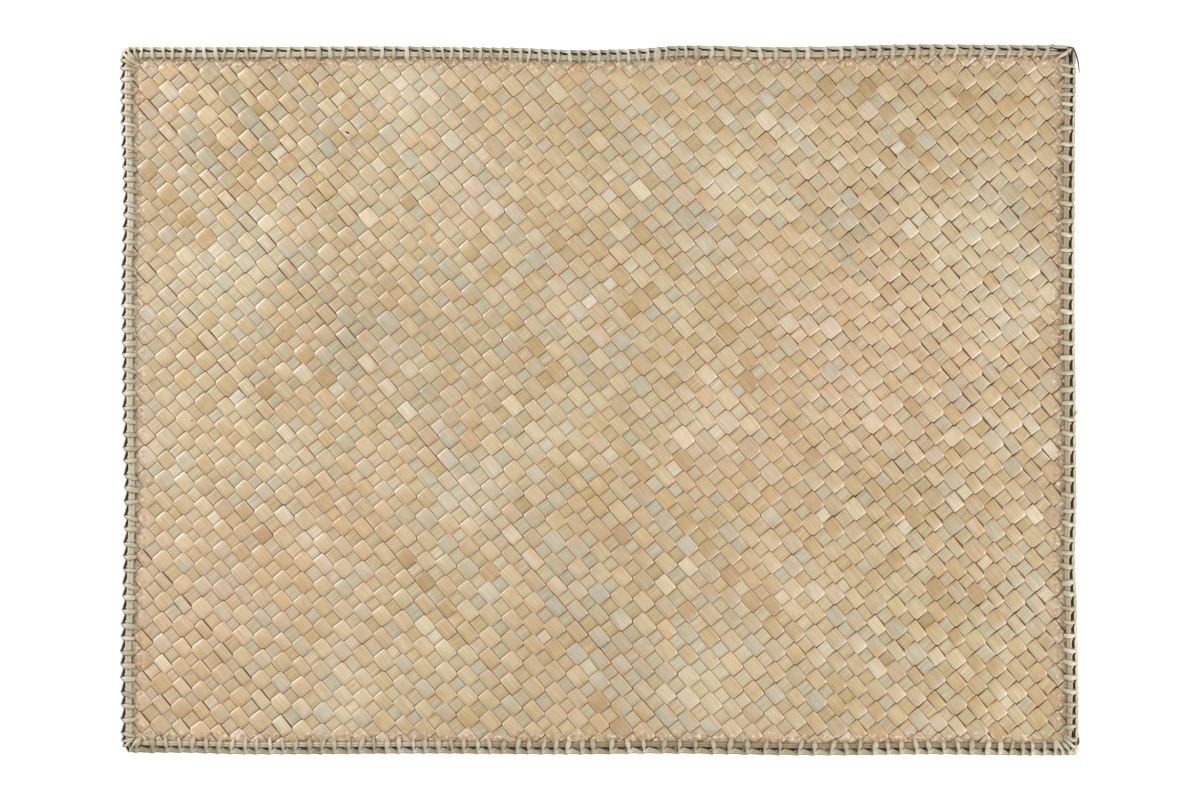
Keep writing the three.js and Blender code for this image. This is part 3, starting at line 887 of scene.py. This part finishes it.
def sewing_tree():
    net, given = new_tree("edge_sewing", ["Length"], Stitch="Object", Edge="Object", Material="Material")
    stitch = net.node("GeometryNodeObjectInfo", {"Object": given["Stitch"]}, out="Geometry")
    edge = net.node("GeometryNodeObjectInfo", {"Object": given["Edge"]}, out="Geometry")
    edge = net.node("GeometryNodeMeshToCurve", {"Mesh": edge})
    sewn = net.node("GeometryNodeInstanceOnPoints", {"Points": given["Geometry"], "Instance": stitch})
    sewn = net.node("GeometryNodeRealizeInstances", {0: sewn})
    run, kept = net.kept("run"), net.kept
    shift, inset, up = net.node("GeometryNodeInputPosition").parts()
    inwards = inset.ramp(2.5 * MM, 7.5 * MM, smooth=False)
    over = inwards * (1 - run.most(0).least(1))
    under = inwards * run.most(0).least(1)
    waist = 1 - inset.ramp(1.5 * MM, 4.5 * MM, kept("waist"), 0)
    waist = waist - inset.ramp(4.5 * MM, 7.2 * MM, 0, kept("waist"))
    length = kept("at") - run * kept("pitch") + shift * kept("wide") * waist
    length = length + over * kept("lean") + under * kept("lean_before")
    length = (length + given["Length"]) % given["Length"]
    inset = inset + inset.ramp(5.8 * MM, 7.2 * MM) * (over + under) * kept("reach")
    inset = inset - kept("jut") * (1 - abs(run - 0.9) * 5).most(0)
    values = {"Curves": edge, "Length": length}
    at = net.node("GeometryNodeSampleCurve", values, out="Position", mode="LENGTH")
    x, y, _ = at.parts()
    heading_x, heading_y, _ = at.other("Tangent").parts()
    sewn = net.moved(sewn, x + heading_y * inset, y - heading_x * inset, up)
    sewn = net.drop(sewn, "at", "pitch", "wide", "waist", "lean", "lean_before", "reach", "jut")
    return close_tree(net, sewn, given["Material"])


def sewing_material(name, shade_from, shade_slope):
    """Pale, waxy leaf: fibres along the strip, some strips greyer and some yellower, brown edges that are
    partly painted shade, and painted shade on the inner part of each blade.
    """
    material, net = new_material(name)
    noise, tinted = net.noise, net.tinted
    along, over, _ = net.node("ShaderNodeUVMap", uv_map="UVMap").parts()
    across, tone, run = net.seen("across"), net.seen("tone"), net.seen("run")
    stops = [
        (0.0, srgb(158, 145, 116)), (0.35, srgb(180, 168, 142)), (0.7, srgb(172, 165, 142)),
        (1.0, srgb(194, 184, 162)),
    ]
    colour = net.node("ShaderNodeValToRGB", {"Fac": tone}, stops=stops)
    fibre = noise(along * 90, over * 4200, tone * 31.0, 3.0)
    cloud = noise(along * 300, over * 500, tone * 17.0)
    value = 1 + (fibre - 0.5) * 0.3 + (cloud - 0.5) * 0.25
    colour = tinted(colour, net.vector(value, value, value), 1.0, "MULTIPLY")
    # Brown towards the strip's edges: partly the leaf's own edges, partly painted shade.
    colour = tinted(colour, srgb(100, 74, 48), abs(across).ramp(0.58, 0.94) * 0.8)
    blade = run.ramp(0.03, 0.25) * (1 - run.ramp(0.85, 1.0))
    # Painted shade: the inner part of each blade dark brown, where it stands on edge in shadow.
    painted_blade_shade = (across - run * shade_slope).ramp(shade_from, shade_from + 0.15)
    painted_blade_shade = painted_blade_shade * blade * 0.98
    colour = tinted(colour, srgb(34, 22, 14), painted_blade_shade)
    rough = 0.56 + (cloud - 0.5) * 0.3 + painted_blade_shade * 0.5
    return finished(material, net, colour, rough, fibre * 0.7 + cloud * 0.3, 0.12 * MM)


def length_to(ring, target):
    """How far round a ring its nearest point to a place lies, in millimetres."""
    best, found, length = 1e9, 0.0, 0.0
    for a, b in zip(ring, ring[1:] + ring[:1]):
        step = b - a
        share = min(max((target - a).dot(step) / step.dot(step), 0.0), 1.0)
        gap = (a + step * share - target).length
        if gap < best:
            best, found = gap, length + step.length * share
        length += step.length
    return found


# The regular stitches keep clear of a corner, and their spacing swells and shrinks in slow waves.
CORNER_CLEAR = 9.8
PITCH_SPREAD = 0.12
PITCH_WAVE = 2.4
FULL_WIDTH_FROM = 5.6  # the spacing from which a stitch has its full width
CORNER_PITCH = 3.2
CORNER_FAN = 0.75
FIRST_BACK = 6.8  # from the first stitch back to the last one of all
JOIN_FROM, JOIN_TO, JOIN_WIDTH = 24, 30, 1.7  # the strip was joined on the top side, with a wide end on top
LEG_WIDTH = {"top": 1, "right": 1.15, "bottom": 1, "left": 1.15}
SLANT, SLANT_FROM, SLANT_OVER = 1.2, 90, 30  # near the top side's right end the legs lean further back
# How far a leg may reach past its hole, and a blade jut out of the edge, in millimetres.
REACH = {"top": (-1.2, 0.5), "right": (-1.3, 0.2), "bottom": (-1.0, 0.7), "left": (-0.9, 0.6)}
JUT = {"top": (0.0, 0.3), "right": (-0.1, 0.4), "bottom": (0.05, 0.4), "left": (0.0, 0.4)}


def stitch_places(side):
    """Where the stitches of a side stand, as in the solids that they replace."""
    places = []
    along = -side.before.distance + CORNER_CLEAR
    while along < side.after.distance - CORNER_CLEAR:
        length = along + side.before.distance
        pitch = next(spacing for until, spacing in side.stitches if length < until)
        places.append((along, pitch, min(1.0, pitch / FULL_WIDTH_FROM)))
        along += pitch * (1 + PITCH_SPREAD * math.sin(PITCH_WAVE * (len(places) - 1)))
    return places


def corner_places(side, end):
    """The wide stitches between a side's last regular one and the middle of the corner there. The top right
    corner has only one."""
    if end < 0:
        gaps = () if side.name == "right" else ((3.0, 1.25), (6.3, 1.0))
        return [(gap - side.before.distance, CORNER_PITCH, wide) for gap, wide in gaps]
    gaps = ((1.0, 1.5),) if side.name == "top" else ((6.8, 0.95), (3.8, 1.15))
    return [(side.after.distance - gap, CORNER_PITCH, wide) for gap, wide in gaps]


def corner_lean(side, along):
    """Near a corner the legs lean away from it, so that they fan out."""
    from_start = along + side.before.distance
    to_end = side.after.distance - along
    if from_start < CORNER_CLEAR:
        return (CORNER_CLEAR - from_start) * CORNER_FAN
    if to_end < CORNER_CLEAR:
        return -(CORNER_CLEAR - to_end) * CORNER_FAN
    return 0.0


edge_ring = outline(0)
edge_length = sum((b - a).length for a, b in zip(edge_ring, edge_ring[1:] + edge_ring[:1]))
edges = [(i, (i + 1) % len(edge_ring)) for i in range(len(edge_ring))]
edge_line = put("edge_line", flat_mesh("edge_line", edge_ring, edges))
sewing_net = sewing_tree()
luck = random.Random(11)
before_at = None
for side in SIDES:
    rows = []
    places = corner_places(side, -1) + stitch_places(side) + corner_places(side, 1)
    stitch_shape = master_stitch(f"stitch_{side.name}", BLADES[side.name], REED_INSET[side.name])
    for along, pitch, width in places:
        at = length_to(edge_ring, side_point(side, along, 0))
        if side.name == "top" and at > edge_length / 2:
            at -= edge_length
        back = FIRST_BACK if before_at is None else at - before_at
        before_at = at
        wide = width * luck.uniform(0.7, 1.14) * LEG_WIDTH[side.name]
        if side.name == "top" and JOIN_FROM < along < JOIN_TO:
            wide = JOIN_WIDTH
        slant = SLANT * smooth((along - SLANT_FROM) / SLANT_OVER) if side.name == "top" else 0.0
        rows.append(
            {
                "at": at * MM,
                "pitch": back * MM,
                "wide": wide,
                "waist": luck.uniform(-0.25, 0.3),
                "lean": (corner_lean(side, along) - luck.uniform(-0.8, 1.8) - slant) * MM,
                "reach": luck.uniform(*REACH[side.name]) * MM,
                "tone": luck.random(),
                "jut": luck.uniform(*JUT[side.name]) * MM,
            }
        )
    for number, row in enumerate(rows):
        row["lean_before"] = rows[max(number - 1, 0)]["lean"]
    host = bpy.data.meshes.new(f"stitch_places_{side.name}")
    host.from_pydata([(0, 0, 0)] * len(rows), [], [])
    for name in rows[0]:
        note(host, name, [row[name] for row in rows])
    sewn = grow(
        f"sewing_{side.name}",
        host,
        sewing_net,
        **{
            "Stitch": stitch_shape, "Edge": edge_line, "Length": edge_length * MM,
            "Material": sewing_material(f"sewing_leaf_{side.name}", *BLADE_SHADE[side.name]),
        },
    )
    fitted(sewn, "sewing_leaf", f"edge_sewing_{side.name}")
    bpy.data.objects.remove(stitch_shape)
bpy.data.objects.remove(edge_line)

# A few loose ends: a dark fibre that springs round the top right corner, torn tips of the sewing strip at
# the edge, and a curl of leaf that has lifted from the panel. They are only thin slivers of the same leaf.
# The tone of each end, its half width from place to place, and the places that it passes, in millimetres.
LOOSE_ENDS = (
    (0.0, (0.3, 0.42, 0.44, 0.4, 0.34, 0.22), (
        (220.4, 166.0, 3.2), (222.2, 166.2, 3.0), (223.9, 164.8, 2.8), (225.1, 162.0, 2.5),
        (225.9, 158.6, 2.2), (226.5, 154.4, 1.9),
    )),
    (0.35, (0.3, 0.22, 0.1), ((214.9, 166.6, 2.6), (213.8, 167.5, 2.6), (212.7, 168.3, 2.5))),
    (0.7, (0.8, 0.6, 0.35, 0.1), (
        (223.6, -8.6, 1.8), (224.7, -6.8, 1.9), (225.7, -5.2, 1.9), (226.5, -4.2, 1.8),
    )),
    (0.0, (0.2, 0.5, 0.75, 0.5), (
        (226.3, -159.0, 1.8), (226.1, -160.4, 1.8), (225.8, -161.8, 1.7), (225.2, -162.6, 1.6),
    )),
    (1.0, (0.12, 0.3, 0.34, 0.3, 0.15), (
        (-120.6, 126.4, 2.0), (-119.6, 125.6, 2.5), (-118.7, 125.0, 2.7), (-117.9, 124.5, 2.5),
        (-117.2, 123.6, 2.0),
    )),
)
LOOSE_HALF_THICK = 0.12


def loose_material():
    """The same leaf, from nearly black to pale."""
    material, net = new_material("loose_leaf")
    along, over, _ = net.node("ShaderNodeUVMap", uv_map="UVMap").parts()
    tone = net.seen("tone")
    fibre = net.noise(along * 400, over * 4200, tone * 9.0, 3.0)
    stops = [(0.0, srgb(66, 50, 36)), (0.4, srgb(150, 126, 92)), (1.0, srgb(226, 210, 180))]
    shade = (tone + (fibre - 0.5) * 0.35).most(0).least(1)
    colour = net.node("ShaderNodeValToRGB", {"Fac": shade}, stops=stops)
    return finished(material, net, colour, 0.5 + (fibre - 0.5) * 0.3, fibre, 0.1 * MM)


bits = bmesh.new()
for number, (tone, widths, points) in enumerate(LOOSE_ENDS):
    middles = refined([Vector(point) for point in points], 3)
    halves = []
    for i, wide in enumerate(refined(list(widths), 3)):
        ahead = middles[min(i + 1, len(middles) - 1)] - middles[max(i - 1, 0)]
        halves.append(Vector((-ahead.y, ahead.x, 0)).normalized() * wide)
    bit = ribbon_mesh(f"loose_{number}", middles, halves, LOOSE_HALF_THICK, turned=True)
    note(bit, "tone", [tone] * len(bit.vertices))
    bits.from_mesh(bit)
    bpy.data.meshes.remove(bit)
loose_mesh = bpy.data.meshes.new("loose_ends")
bits.to_mesh(loose_mesh)
bits.free()
loose_mesh.materials.append(loose_material())
loose_mesh.shade_smooth()
loose_ends = put("loose_ends", loose_mesh)
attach(loose_ends, "root")

# The table under the mat, the lights and the camera. The table is a pale, matt board, lit softly from both
# sides and from above. The camera looks straight down, as in the picture.
floor_mesh = bpy.data.meshes.new("floor")
floor_mesh.from_pydata([(-3, -3, 0), (3, -3, 0), (3, 3, 0), (-3, 3, 0)], [], [(0, 1, 2, 3)])
floor = put("floor", floor_mesh)
pale_table, _ = new_material("pale_table")
shader = pale_table.node_tree.nodes["Principled BSDF"]
shader.inputs["Base Color"].default_value = (0.93, 0.93, 0.93, 1)
shader.inputs["Roughness"].default_value = 0.9
shader.inputs["Emission Color"].default_value = (1, 1, 1, 1)
shader.inputs["Emission Strength"].default_value = 0.35
floor_mesh.materials.append(pale_table)


def soft_light(name, place, size, power):
    lamp = bpy.data.lights.new(name, "AREA")
    lamp.energy = power
    lamp.shape = "RECTANGLE"
    lamp.size, lamp.size_y = size
    holder = put(name, lamp)
    holder.location = place
    holder.rotation_euler = (-Vector(place)).to_track_quat("-Z", "Y").to_euler()


soft_light("left_window", (-1.0, 0.5, 0.46), (0.4, 0.8), 14.0)
soft_light("right_window", (1.0, -0.3, 0.46), (0.4, 0.8), 11.0)
soft_light("overhead", (0.0, 0.0, 1.9), (1.2, 1.2), 8.0)
world = bpy.data.worlds.new("room")
world.use_nodes = True
world.node_tree.nodes["Background"].inputs["Color"].default_value = (1, 1, 1, 1)
world.node_tree.nodes["Background"].inputs["Strength"].default_value = 0.45
bpy.context.scene.world = world
bpy.context.scene.view_settings.view_transform = "Standard"

camera = bpy.data.cameras.new("camera")
camera.lens = 85
camera.sensor_width = 36
bpy.context.scene.camera = put("camera", camera)
bpy.context.scene.camera.location = (0.0004, 0, 1.338)
